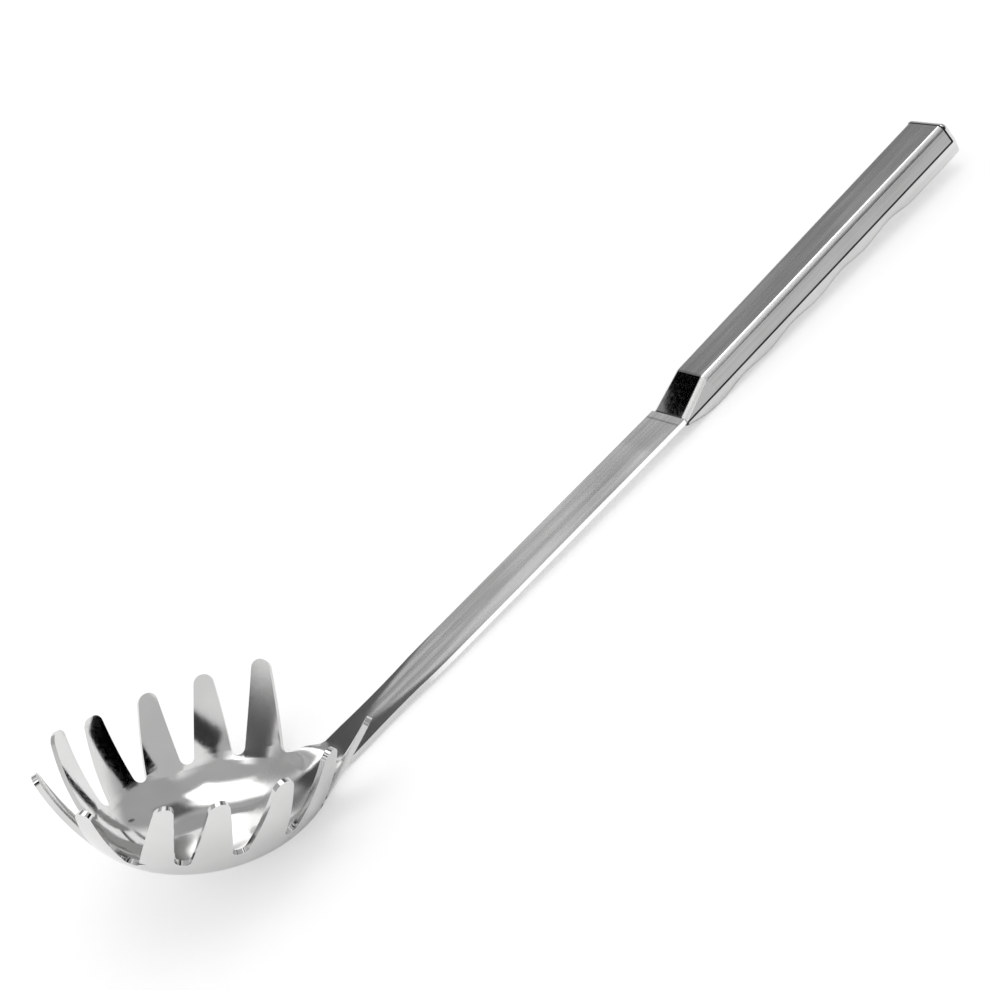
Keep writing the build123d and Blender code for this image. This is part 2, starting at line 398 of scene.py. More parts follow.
@dataclass(frozen=True)
class Masks:
    """How brushed, how dark and how satin a steel is from place to place. The darkness holds
    painted shade and the weld's line, and below nought it lightens the steel, mostly as painted
    highlight.
    """

    brushed: Socket
    dark: Socket
    satin: Level


GRAIN = Blotches((0.055, 0.0005, 0.0005), 3.0)
STREAKS = Blotches((0.05, 0.0035, 0.0035), 3.0)
CLOUDS = Blotches((0.02, 0.014, 0.014), 2.0)
SPECKLES = Blotches((0.0011, 0.0011, 0.0011), 5.0)
GRAIN_TONE = Ease(0.32, 0.68, 0.93, 1.05)
STREAK_TONE = Ease(0.3, 0.7, 0.9, 1.1)
CLOUD_TONE = Ease(0.3, 0.7, 0.96, 1.03)
POLISH_ROUGHNESS = Ease(0.35, 0.75, 0.06, 0.11)
STREAK_ROUGHNESS = Ease(0.25, 0.75, 0.85, 1.2)
SATIN_ROUGHNESS = 0.4
STEEL_TINT = (1.0, 0.998, 0.99)
GRAIN_DEPTH, PORE_DEPTH, WAVE_DEPTH = 0.00002, 0.000003, 0.0002


@dataclass(frozen=True)
class Steel(ABC):
    """A stainless steel finish, in nodes that read Object coordinates.

    Distances are in metres and angles in degrees. The grain runs along a line in the XZ plane.
    """

    name: str
    origin: Place
    tilt: float
    colour: float
    shade: float
    roughness: float
    grain_bump: float
    wave_bump: float

    def local(self, tree: NodeTree, size: Place = (1.0, 1.0, 1.0)) -> Socket:
        """Gives the place along the grain, across it and up from it, divided by a size."""
        node = tree.add(
            "ShaderNodeMapping", vector_type="TEXTURE",
            Vector=tree.add("ShaderNodeTexCoord").outputs["Object"],
            Location=self.origin, Rotation=(0.0, -math.radians(self.tilt), 0.0), Scale=size,
        )
        return node.outputs["Vector"]

    def noise(self, tree: NodeTree, kind: Blotches) -> Socket:
        """Gives noise with blotches of one kind."""
        place = self.local(tree, kind.size)
        node = tree.add("ShaderNodeTexNoise", Vector=place, Scale=1.0, Detail=kind.detail)
        return node.outputs["Fac"]

    @abstractmethod
    def masks(self, tree: NodeTree) -> Masks:
        """Says where the steel is brushed, dark and satin."""

    def build(self) -> Material:
        """Makes the material.

        Returns:
            The material, with colour, roughness and a fine normal from its nodes.
        """
        material = bpy.data.materials.new(self.name)
        tree = NodeTree.of(material)
        masks = self.masks(tree)
        kinds = (GRAIN, STREAKS, CLOUDS, SPECKLES)
        grain, streak, cloud, speckle = (self.noise(tree, kind) for kind in kinds)
        swirl = tree.math("MULTIPLY", tree.ease(grain, GRAIN_TONE), tree.ease(streak, STREAK_TONE))
        swirl = tree.math("SUBTRACT", swirl, 1.0)
        tone = tree.math("MULTIPLY_ADD", masks.brushed, swirl, 1.0)
        tone = tree.math("MULTIPLY", tone, tree.ease(cloud, CLOUD_TONE))
        # painted shade darkens the tone here, and painted highlights lighten it where the darkness
        # is below nought
        tone = tree.math("MULTIPLY", tone, tree.math("SUBTRACT", 1.0, masks.dark))
        value = tree.math("MULTIPLY", tone, self.colour)
        colour = tree.add("ShaderNodeCombineColor")
        for socket, tint in zip(colour.inputs, STEEL_TINT):
            tree.put(socket, tree.math("MULTIPLY", value, tint))
        polish = tree.ease(speckle, POLISH_ROUGHNESS)
        rough = tree.math("MULTIPLY", tree.ease(streak, STREAK_ROUGHNESS), self.roughness)
        rough = tree.math("SUBTRACT", rough, polish)
        rough = tree.math("MULTIPLY_ADD", masks.brushed, rough, polish)
        satin = tree.math("MAXIMUM", masks.dark, masks.satin)
        rough = tree.math("MAXIMUM", rough, tree.math("MULTIPLY", satin, SATIN_ROUGHNESS))
        lines = tree.math("MULTIPLY", masks.brushed, self.grain_bump)
        normal = tree.bump(lines, GRAIN_DEPTH, grain)
        pores = tree.math("SUBTRACT", 1.0, masks.brushed)
        normal = tree.bump(pores, PORE_DEPTH, speckle, normal)
        normal = tree.bump(self.wave_bump, WAVE_DEPTH, cloud, normal)
        shader = tree.add(
            "ShaderNodeBsdfPrincipled", Base_Color=colour.outputs["Color"], Metallic=1.0,
            Roughness=rough, Normal=normal,
        )
        tree.add("ShaderNodeOutputMaterial", Surface=shader.outputs["BSDF"])
        return material


@dataclass(frozen=True)
class ServerSteel(Steel):
    """Mirror polish on the bowl that passes into a lengthwise brushed shaft.

    A gain lightens the steel, partly as painted highlight; a place is measured along the shaft or
    across it.
    """

    brushed_from: float = 0.014
    brushed_to: float = 0.030
    edge_lag: float = 530.0
    shaft_gain: float = 0.22
    # painted highlight: a lighter band along the shaft, at this place and these widths
    streak_place: float = -0.0045
    streak_widths: Pair = (0.0004, 0.0032)
    streak_painted_highlight: float = 0.24
    edge_place: float = 0.0079
    edge_fade: float = 0.0001
    # painted highlight on the shaft's rounded edges
    edge_painted_highlight: float = 0.4
    # painted shade: the shaft's lightening fades to this share in front of the handle's step
    step_shade_place: float = 0.1365
    step_shade_fade: float = 0.002
    step_shade_share: float = 0.25
    weld_place: float = 0.1482
    weld_widths: Pair = (0.0001, 0.0005)
    # painted shade on the neck and its shoulders
    neck_painted_shade: float = 0.35
    neck_from: float = -0.014
    neck_to: float = -0.002
    neck_satin_and_shade: float = 0.38
    shoulder_place: float = 0.009
    shoulder_widths: Pair = (0.002, 0.010)
    shoulder_satin_and_shade: float = 0.85
    root_place: float = -0.001
    root_widths: Pair = (0.003, 0.016)

    def neck(self, tree: NodeTree, along: Socket, side: Socket) -> Socket:
        """Gives the satin of the neck and its shoulders, which also sets their painted shade.

        Args:
            tree: the material's nodes.
            along: the place along the shaft.
            side: the distance from the shaft's middle.

        Returns:
            The satin mask, which runs on over the shaft.
        """
        shoulder = tree.band(side, self.shoulder_place, self.shoulder_widths, self.shoulder_satin_and_shade)
        root = tree.band(along, self.root_place, self.root_widths)
        shoulder = tree.math("MULTIPLY", shoulder, root)
        neck = tree.rise(along, self.neck_from, self.neck_to, self.neck_satin_and_shade)
        return tree.math("MAXIMUM", neck, shoulder)

    def masks(self, tree: NodeTree) -> Masks:
        """Gives a brushed shaft that starts from its middle, with a painted highlight streak and
        painted highlights on its edges, painted shade in front of the handle's step, a welded end,
        and a satin neck with painted shade.
        """
        split = tree.add("ShaderNodeSeparateXYZ", Vector=self.local(tree))
        along, across = split.outputs["X"], split.outputs["Y"]
        side = tree.math("ABSOLUTE", across)
        square = tree.math("MULTIPLY", side, side)
        late = tree.math("MULTIPLY_ADD", square, -self.edge_lag, along)
        brushed = tree.rise(late, self.brushed_from, self.brushed_to)
        flat = tree.fall(side, self.edge_place - self.edge_fade, self.edge_place + self.edge_fade)
        on_shaft = tree.rise(along, self.brushed_to, self.brushed_to * 2.0)
        edge = tree.math("MULTIPLY", on_shaft, tree.math("SUBTRACT", 1.0, flat))
        # painted highlight: a lighter streak along the shaft
        streak = tree.band(across, self.streak_place, self.streak_widths, self.streak_painted_highlight)
        # painted shade: the shaft is darker in front of the handle's step, where its lightening
        # fades out
        shade_start, shade_end = self.step_shade_place - self.step_shade_fade, self.step_shade_place + self.step_shade_fade
        step_shade = tree.ease(along, Ease(shade_start, shade_end, 1.0, self.step_shade_share))
        gain = tree.math("ADD", streak, self.shaft_gain)
        gain = tree.math("MULTIPLY", gain, tree.math("MULTIPLY", brushed, step_shade))
        weld = tree.band(along, self.weld_place, self.weld_widths, self.shade)
        dark = tree.math("SUBTRACT", tree.math("MULTIPLY", weld, flat), gain)
        # painted highlight: the shaft's rounded edges are lightened
        dark = tree.math("SUBTRACT", dark, tree.math("MULTIPLY", edge, self.edge_painted_highlight))
        off_shaft = tree.math("SUBTRACT", 1.0, on_shaft)
        satin = tree.math("MULTIPLY", self.neck(tree, along, side), off_shaft)
        # painted shade: the neck and its shoulders are darkened, standing in for the darker
        # reflection there
        dark = tree.math("MULTIPLY_ADD", satin, self.neck_painted_shade, dark)
        return Masks(tree.math("MULTIPLY", brushed, flat), dark, satin)


@dataclass(frozen=True)
class ShellSteel(Steel):
    """Brushed or polished steel on the handle, with painted shade in thin lines where the shells
    meet, at the cap's joint and at the front edge, and a painted highlight on the upper shell's
    ridges.
    """

    brushed: float = 1.0
    polished_until: float = 0.0
    polished_fade: float = 0.0006
    # painted highlight: how much the ridges are lightened
    ridge_painted_highlight: float = 1.1
    seam_width: float = 0.0003
    end_place: float = 0.1243
    end_fade: float = 0.0002
    end_lap: float = 0.0001
    above: bool = True
    step_rise: float = 0.351
    step_foot: float = 0.0015
    top_height: float = 0.0062
    ridge_drop: float = -0.0016
    ridge_start: float = -0.0013
    side_lean: float = 0.158
    side_flare: float = -0.0056
    ridge_inner: float = 0.0067
    ridge_outer: float = 0.0070

    def ridge(self, tree: NodeTree, split: bpy.types.Node) -> Socket:
        """Gives the mask of the rounded ridges along the upper shell, which makes them satin and
        lightens them as a painted highlight.

        Args:
            tree: the material's nodes.
            split: the node that gives the place along, across and up.

        Returns:
            The mask.
        """
        along, across, up = (split.outputs[axis] for axis in "XYZ")
        top = tree.math("MULTIPLY_ADD", along, self.step_rise, self.step_foot)
        top = tree.math("MINIMUM", top, self.top_height)
        high = tree.rise(tree.math("SUBTRACT", up, top), self.ridge_drop, self.ridge_start)
        out = tree.math("MULTIPLY_ADD", up, self.side_lean, tree.math("ABSOLUTE", across))
        out = tree.math("MULTIPLY_ADD", along, self.side_flare, out)
        return tree.math("MULTIPLY", high, tree.rise(out, self.ridge_inner, self.ridge_outer))

    def masks(self, tree: NodeTree) -> Masks:
        """Gives a polished step, painted shade lines at the seam, the cap's joint and the front
        edge, and satin ridges with a painted highlight.
        """
        split = tree.add("ShaderNodeSeparateXYZ", Vector=self.local(tree))
        along, up = split.outputs["X"], split.outputs["Z"]
        polished, fade = self.polished_until, self.polished_fade
        brushed = tree.rise(along, polished - fade, polished + fade, self.brushed)
        # painted shade: thin dark lines along the seam, at the cap's joint and at the front edge,
        # where shade falls in the joints
        line = (self.seam_width * 0.5, self.seam_width)
        seam = tree.fall(tree.math("ABSOLUTE", up), *line)
        if not self.above:
            front = tree.fall(along, self.end_place - self.end_fade, self.end_place)
            seam = tree.math("MULTIPLY", seam, front)
        end = tree.band(along, self.end_place, line)
        end = tree.math("MULTIPLY", end, tree.rise(up, -self.end_fade, self.end_lap))
        foot = tree.fall(along, self.seam_width, self.seam_width * 2.0)
        dark = tree.math("MAXIMUM", tree.math("MAXIMUM", seam, end), foot)
        dark = tree.math("MULTIPLY", dark, self.shade)
        if not self.above:
            return Masks(brushed, dark, 0.0)
        ridge = self.ridge(tree, split)
        brushed = tree.math("MULTIPLY", brushed, tree.math("SUBTRACT", 1.0, ridge))
        # painted highlight: the ridges are lightened to stand in for a softbox's white reflection
        dark = tree.math("SUBTRACT", dark, tree.math("MULTIPLY", ridge, self.ridge_painted_highlight))
        return Masks(brushed, dark, ridge)


@dataclass
class Bowl:
    """The tined bowl with its neck and shaft, all one pressed sheet, in millimetres and degrees.

    A turn is measured from the front, a reach up the sheet from the rim.
    """

    sheet: float = 1.5
    rim_radius: float = 31.5
    depth: float = 10.4
    rim_slope: float = 50.0
    front_bend: float = 70.7
    back_bend: float = 289.0
    bend_change_from: float = 128.0
    bend_change_width: float = 4.0
    gap_slope: float = 55.25
    tine_pitch: float = 26.0
    tip_width: float = 5.0
    tip_rounding: float = 2.3
    gap_radius: float = 2.1
    gap_swing: float = 60.0
    neck_turn: float = 158.0
    neck_radius: float = 3.0
    neck_rise: float = 1.1
    tip_turns: tuple[float, ...] = (22.5, 54.5, 72.5, 96.0, 118.0, 138.5)
    tine_lengths: tuple[float, ...] = (23.6, 25.2, 23.2, 23.2, 24.4, 27.6)
    shaft_slope: float = 25.6
    shaft_end: float = 165.6
    shaft_half_width: float = 8.2
    tang_half_width: float = 6.3
    tang_shoulder: float = 0.02
    tang_middle: float = 180.0
    tang_end: float = 199.8
    root: Pair = (21.501, -7.672)
    sink_from: float = 14.0
    sink_length: float = 12.0
    sink_flat: float = 0.3
    sink_flare: float = 0.5
    leave_from: float = 28.5
    leave_length: float = 12.0
    leave_half_width: float = 12.0
    leave_fade: float = 6.0
    bulge: float = 3.3
    bulge_length: float = 16.0
    steepest_rise: float = 0.999
    edge_rounding: float = 0.36
    edge_segments: int = 3
    edge_angle: float = 40.0
    flat_weight: int = 60
    merge_distance: float = 0.01
    ring_reach: float = -1.6
    gap_half_turn: float = 4.0
    gap_rows: int = 4
    gap_columns: int = 12
    neck_gap_columns: int = 8
    tine_columns: int = 10
    arc_rows: int = 3
    side_rows: int = 20
    line_steps: int = 60
    tip_rows: int = 4
    tip_steps: int = 12
    solver_rounds: int = 10
    bowl_rows: int = 30
    neck_columns: int = 24
    outline: tuple[Pair, ...] = (
        (29.9, 12.06), (30.9, 10.6), (32.4, 9.6), (34.3, 8.95), (36.5, 8.4), (39.0, 8.05),
        (42.0, 7.95), (46.0, 7.85), (51.0, 7.6), (57.0, 7.5), (65.0, 7.65), (71.0, 8.1),
        (76.0, 8.2),
    )
    shaft_rows: tuple[float, ...] = (
        30.4, 30.9, 31.6, 32.4, 33.3, 34.3, 35.4, 36.5, 37.7, 39.0, 40.5, 42.0, 44.0, 46.0, 48.5,
        51.0, 54.0, 57.0, 61.0, 65.0, 68.0, 71.0, 76.0, 84.0, 96.0, 110.0, 125.0, 140.0, 152.0,
        160.0,
    )
    arc: float = field(init=False)
    floor: float = field(init=False)

    def __post_init__(self) -> None:
        """Works out the bowl's arc from its depth and the slope of its rim."""
        slope = math.radians(self.rim_slope)
        self.arc = self.depth / (1.0 - math.cos(slope))
        self.floor = self.rim_radius - self.arc * math.sin(slope)

    def bend(self, turn: float) -> float:
        """Gives how much the tines curve at a turn, as one over a radius."""
        share = smooth_step((abs(turn) - self.bend_change_from) / self.bend_change_width)
        return mix(1.0 / self.front_bend, 1.0 / self.back_bend, share)

    def wall(self, turn: float, reach: float) -> Pair:
        """Gives the sheet's inside at a turn and a reach.

        Args:
            turn: the turn from the front.
            reach: the length up the wall from the rim, less than nought in the bowl.

        Returns:
            The radius and the height.
        """
        slope = math.radians(self.rim_slope)
        if reach > 0.0:
            bend = self.bend(turn)
            angle = slope + reach * bend
            radius = self.rim_radius + (math.sin(angle) - math.sin(slope)) / bend
            return radius, (math.cos(slope) - math.cos(angle)) / bend
        angle = slope + reach / self.arc
        if angle > 0.0:
            height = self.arc * (1.0 - math.cos(angle)) - self.depth
            return self.floor + self.arc * math.sin(angle), height
        return max(self.floor + self.arc * angle, 0.0), -self.depth

    def wall_height(self, radius: float) -> float:
        """Gives the height of the wall, run on outwards at the back, at a radius."""
        if radius <= self.floor:
            return -self.depth
        if radius <= self.rim_radius:
            angle = math.asin((radius - self.floor) / self.arc)
            return self.arc * (1.0 - math.cos(angle)) - self.depth
        slope = math.radians(self.rim_slope)
        rise = math.sin(slope) + (radius - self.rim_radius) / self.back_bend
        angle = math.asin(min(rise, self.steepest_rise))
        return (math.cos(slope) - math.cos(angle)) * self.back_bend

    def neck_height(self, x: float, y: float, height: float) -> float:
        """Lets the wall sink into the shaft's channel at the back.

        Args:
            x: the place along the server.
            y: the place across it.
            height: the wall's height there.

        Returns:
            The sheet's height there.
        """
        if x <= self.sink_from:
            return height
        line = self.root[1] + (x - self.root[0]) * math.tan(math.radians(self.shaft_slope))
        line = line if x > self.root[0] else self.wall_height(x)
        start, widest = self.outline[0]
        edge = widest + (start - x) * self.sink_flare
        if x > start:
            edge = along_table(self.outline, x)
        across = smooth_step((abs(y) - self.sink_flat * edge) / ((1.0 - self.sink_flat) * edge))
        entry = smooth_step((x - self.sink_from) / self.sink_length)
        beside = smooth_step((abs(y) - self.leave_half_width) / self.leave_fade)
        leave = smooth_step((x - self.leave_from) / self.leave_length) * (1.0 - beside)
        return line + (height - line) * (1.0 - (1.0 - across) * entry) * (1.0 - leave)

    def on_sheet(self, turn: float, reach: float) -> Vector:
        """Gives the place on the sheet's inside by turn and reach."""
        radius, height = self.wall(turn, reach)
        x = -radius * math.cos(math.radians(turn))
        y = radius * math.sin(math.radians(turn))
        return Vector((x, y, self.neck_height(x, y, height)))

    def in_gap(self, gap_turn: float, across: float, up: float) -> Pair:
        """Finds a point of a gap's drawing, seen square to the wall, on the sheet.

        Args:
            gap_turn: the gap's turn from the front.
            across: the distance from the gap's middle, towards the front.
            up: the distance up from the rim.

        Returns:
            The turn and the reach on the sheet.
        """
        lean = math.radians(self.gap_slope)
        reach, turn = up, gap_turn
        for _ in range(self.solver_rounds):
            radius, height = self.wall(turn, reach)
            turn = gap_turn - math.degrees(math.asin(across / radius))
            forward = math.sqrt(radius**2 - across**2) - self.rim_radius
            bent = reach * self.bend(turn) if reach > 0.0 else reach / self.arc
            slope = math.radians(self.rim_slope) + bent
            missing = up - forward * math.cos(lean) - height * math.sin(lean)
            reach += missing / math.cos(slope - lean)
        return turn, reach

    def gap_sizes(self, gap: int) -> Place:
        """Gives a gap's turn, its bottom's radius and its bottom's rise above the rim."""
        if gap == len(self.tine_lengths):
            return self.neck_turn, self.neck_radius, self.neck_rise
        return gap * self.tine_pitch, self.gap_radius, 0.0

    def gap_arc(self, gap: int, angle: float) -> Pair:
        """Gives a point of a gap's round bottom, by its angle from the lowest to the front."""
        turn, radius, rise = self.gap_sizes(gap)
        swing = math.radians(angle)
        up = rise + radius * (1.0 - math.cos(swing))
        return self.in_gap(turn, radius * math.sin(swing), up)

    def gap_foot(self, gap: int, angle: float, ring_turn: float) -> list[Pair]:
        """Gives the line from the ring up to a point of a gap's round bottom."""
        foot, top = (ring_turn, self.ring_reach), self.gap_arc(gap, angle)
        return [mix_pair(foot, top, row / self.gap_rows) for row in range(self.gap_rows + 1)]

    def straight_side(self, index: int, hand: int) -> tuple[float, list[Pair]]:
        """Finds the straight part of one side of a tine.

        Args:
            index: the tine, counted from the front.
            hand: 1 for the side nearer the front, -1 for the other.

        Returns:
            The angle at which it leaves the gap's round bottom, and its points up to the tip.
        """
        gap_turn, radius, rise = self.gap_sizes(index if hand > 0 else index + 1)
        tip_turn = self.tip_turns[index]
        tip_radius, tip_height = self.wall(tip_turn, self.tine_lengths[index])
        out, gap_out = (
            Vector((-math.cos(math.radians(turn)), math.sin(math.radians(turn)), 0.0))
            for turn in (tip_turn, gap_turn)
        )
        beside = Vector((-out.y, out.x, 0.0)) * (hand * self.tip_width / 2.0)
        corner = out * tip_radius + beside
        corner.z = tip_height
        lean = math.radians(self.gap_slope)
        from_rim = corner - gap_out * self.rim_radius
        up = from_rim.dot(gap_out) * math.cos(lean) + corner.z * math.sin(lean)
        flat = Vector((from_rim.dot(Vector((-gap_out.y, gap_out.x, 0.0))), up))
        centre = Vector((0.0, rise + radius))
        reach = flat - centre
        angle = math.atan2(reach.y, reach.x) + hand * math.acos(radius / reach.length)
        touch = centre + Vector((math.cos(angle), math.sin(angle))) * radius
        touch_angle = math.degrees(math.atan2(-hand * touch.x, centre.y - touch.y))
        shares = (step / self.line_steps for step in range(self.line_steps + 1))
        return touch_angle, [self.in_gap(gap_turn, *touch.lerp(flat, share)) for share in shares]

    def tine_side(self, index: int, hand: int) -> tuple[list[Pair], list[Pair]]:
        """Follows one side of a tine from the ring to the middle of its rounded tip.

        Args:
            index: the tine, counted from the front.
            hand: 1 for the side nearer the front, -1 for the other.

        Returns:
            The points of the side up to the rounding's middle, and those from there to the tip.
        """
        gap = index if hand > 0 else index + 1
        touch_angle, line = self.straight_side(index, hand)
        swing = self.gap_swing
        ring_turn = self.gap_sizes(gap)[0] + hand * self.gap_half_turn
        points = self.gap_foot(gap, -hand * swing, ring_turn)
        for row in range(1, self.arc_rows + 1):
            angle = mix(swing, touch_angle, row / self.arc_rows)
            points.append(self.gap_arc(gap, -hand * angle))

        def turn_at(place: float) -> float:
            """Gives the turn of the tine's straight side at a reach."""
            steps = range(self.line_steps)
            number = max((step for step in steps if line[step][1] <= place), default=0)
            (turn_low, low), (turn_high, high) = line[number], line[number + 1]
            return mix(turn_low, turn_high, (place - low) / (high - low))

        straight_end = self.tine_lengths[index] - self.tip_rounding
        for row in range(1, self.side_rows + 1):
            place = mix(line[0][1], straight_end, row / self.side_rows)
            points.append((turn_at(place), place))

        def rounded(share: float) -> Pair:
            """Gives the point of the tip's rounded corner at a share of its quarter circle."""
            bend = math.radians(90.0 * share)
            place = straight_end + self.tip_rounding * math.sin(bend)
            inset = self.tip_rounding * (1.0 - math.cos(bend))
            radius = self.wall(self.tip_turns[index], place)[0]
            return turn_at(place) + hand * math.degrees(inset / radius), place

        points += [rounded(0.5 * row / self.tip_rows) for row in range(1, self.tip_rows + 1)]
        tip = [rounded(0.5 + 0.5 * step / self.tip_steps) for step in range(self.tip_steps + 1)]
        return points, tip

    def tine(self, index: int, side: int) -> Piece:
        """Makes the patch of one tine.

        Args:
            index: the tine, counted from the front.
            side: 1 for the far side of the server, -1 for the near one.

        Returns:
            The patch.
        """
        left, left_tip = self.tine_side(index, 1)
        right, right_tip = self.tine_side(index, -1)
        tip = left_tip + right_tip[::-1]
        lengths = [0.0]
        for before, after in zip(tip, tip[1:]):
            across = math.radians(after[0] - before[0]) * self.wall(*before)[0]
            lengths.append(lengths[-1] + math.hypot(across, after[1] - before[1]))
        columns = range(self.tine_columns + 1)
        top = []
        for column in columns:
            place = lengths[-1] * column / self.tine_columns
            number = max(step for step in range(len(lengths) - 1) if lengths[step] <= place)
            share = (place - lengths[number]) / (lengths[number + 1] - lengths[number])
            top.append(mix_pair(tip[number], tip[number + 1], share))
        foot = [mix_pair(left[0], right[0], column / self.tine_columns) for column in columns]
        return self.patch("tine", coons(foot, top, left, right), (len(foot), len(left)), side)

    def gap(self, gap: int, side: int) -> Piece:
        """Makes the patch under one gap.

        Args:
            gap: the gap, counted from the front one.
            side: 1 for the far side of the server, -1 for the near one.

        Returns:
            The patch.
        """
        turn = self.gap_sizes(gap)[0]
        first, last = turn - self.gap_half_turn, turn + self.gap_half_turn
        end, columns = -self.gap_swing, self.gap_columns
        if gap == len(self.tine_lengths):
            last, end, columns = turn, 0.0, self.neck_gap_columns
        shares = [column / columns for column in range(columns + 1)]
        foot = [(mix(first, last, share), self.ring_reach) for share in shares]
        top = [self.gap_arc(gap, mix(self.gap_swing, end, share)) for share in shares]
        left, right = self.gap_foot(gap, self.gap_swing, first), self.gap_foot(gap, end, last)
        return self.patch("gap", coons(foot, top, left, right), (len(foot), len(left)), side)

    def patch(
        self, name: str, net: Callable[[int, int], Pair], size: tuple[int, int], side: int
    ) -> Piece:
        """Lays a net of turns and reaches onto the sheet.

        Args:
            name: the patch's name.
            net: told a column and a row, gives the turn and the reach.
            size: how many corners it has across and along.
            side: 1 for the far side of the server, -1 for the near one.

        Returns:
            The patch.
        """

        def place_corner(column: int, row: int) -> Vector:
            """Gives the place of one corner of the net."""
            turn, reach = net(column, row)
            return self.on_sheet(side * turn, reach)

        return shape_grid(name, size[0] - 1, size[1] - 1, place_corner)

    def ring_turns(self) -> list[float]:
        """Lists the turns of the ring's corners all the way round, from the near neck gap."""
        gap_count = len(self.tine_lengths)
        middle = self.gap_columns // 2
        half = [self.gap_half_turn * step / middle for step in range(1, middle + 1)]
        for gap in range(1, gap_count + 1):
            turn = self.gap_sizes(gap)[0]
            start, end = half[-1], turn - self.gap_half_turn
            steps = range(1, self.tine_columns + 1)
            half += [mix(start, end, column / self.tine_columns) for column in steps]
            last, columns = turn + self.gap_half_turn, self.gap_columns
            if gap == gap_count:
                last, columns = turn, self.neck_gap_columns
            half += [mix(end, last, column / columns) for column in range(1, columns + 1)]
        turns = [-turn for turn in reversed(half)] + [0.0] + half
        return turns + [self.neck_ray(column) for column in range(1, self.neck_columns + 1)]

    def neck_ray(self, column: int) -> float:
        """Gives the turn of one of the neck's columns."""
        width = 360.0 - 2.0 * self.neck_turn
        return self.neck_turn + width * column / self.neck_columns

    def inside(self) -> Piece:
        """Makes the patch of the bowl below the ring, down to the middle of its floor."""
        turns = self.ring_turns()
        bottom = -(self.arc * math.radians(self.rim_slope) + self.floor)

        def place_corner(column: int, row: int) -> Vector:
            """Gives the place of one corner of the bowl's net."""
            return self.on_sheet(turns[column], mix(self.ring_reach, bottom, row / self.bowl_rows))

        return shape_grid("bowl", len(turns) - 1, self.bowl_rows, place_corner)

    def neck_and_shaft(self) -> Piece:
        """Makes the patch from the ring over the shoulders and along the shaft, with its tang."""
        foot = self.gap_foot(len(self.tine_lengths), 0.0, self.neck_turn)
        edges = [tuple(self.on_sheet(*pair).xy) for pair in foot]
        first_bulge = self.wall(180.0, self.ring_reach)[0] - edges[0][0]
        edges += [(x, along_table(self.outline, x)) for x in self.shaft_rows]
        edges.append((self.shaft_end, self.shaft_half_width))
        tang = (self.shaft_end + self.tang_shoulder, self.tang_middle, self.tang_end)
        edges += [(x, self.tang_half_width) for x in tang]
        waist = self.outline[0][0]

        def place_corner(column: int, row: int) -> Vector:
            """Gives the place of one corner of the neck's and shaft's net."""
            turn = self.neck_ray(column)
            if row == 0:
                return self.on_sheet(turn, self.ring_reach)
            share = math.sin(math.radians(turn)) / math.sin(math.radians(self.neck_turn))
            x, y = edges[row]
            bulge = mix(first_bulge, self.bulge, min(row / self.gap_rows, 1.0))
            bulge *= 1.0 - smooth_step((x - waist) / self.bulge_length)
            x += bulge * (1.0 - share**2)
            y *= share
            return Vector((x, y, self.neck_height(x, y, self.wall_height(math.hypot(x, y)))))

        return shape_grid("neck", self.neck_columns, len(edges) - 1, place_corner)

    def build(self) -> Piece:
        """Joins the patches, gives the sheet its thickness and rounds its edges.

        Returns:
            The bowl with its neck and shaft, in the level drawing's millimetres.
        """
        patches = [self.inside(), self.neck_and_shaft(), self.gap(0, 1)]
        for side in (1, -1):
            patches += [self.gap(gap, side) for gap in range(1, len(self.tine_lengths) + 1)]
            patches += [self.tine(index, side) for index in range(len(self.tine_lengths))]
        piece = patches[0]
        pick_only(piece)
        for patch in patches:
            patch.select_set(True)
        bpy.ops.object.join()
        piece.name = "server_bowl_and_shaft"
        close_mesh(piece, self.merge_distance)
        low = min(piece.data.polygons, key=lambda face: face.center.xy.length)
        if low.normal.z < 0.0:
            piece.data.flip_normals()
        LOG.info(
            "bowl sheet: %d faces, %d open edges", len(piece.data.polygons), open_edges(piece.data)
        )
        bpy.ops.object.shade_smooth()
        apply_modifier(piece, "SOLIDIFY", thickness=self.sheet, offset=-1.0, use_even_offset=True)
        apply_modifier(
            piece, "BEVEL", width=self.edge_rounding, segments=self.edge_segments,
            limit_method="ANGLE", angle_limit=math.radians(self.edge_angle), use_clamp_overlap=True,
        )
        apply_modifier(piece, "WEIGHTED_NORMAL", weight=self.flat_weight, keep_sharp=False)
        return piece


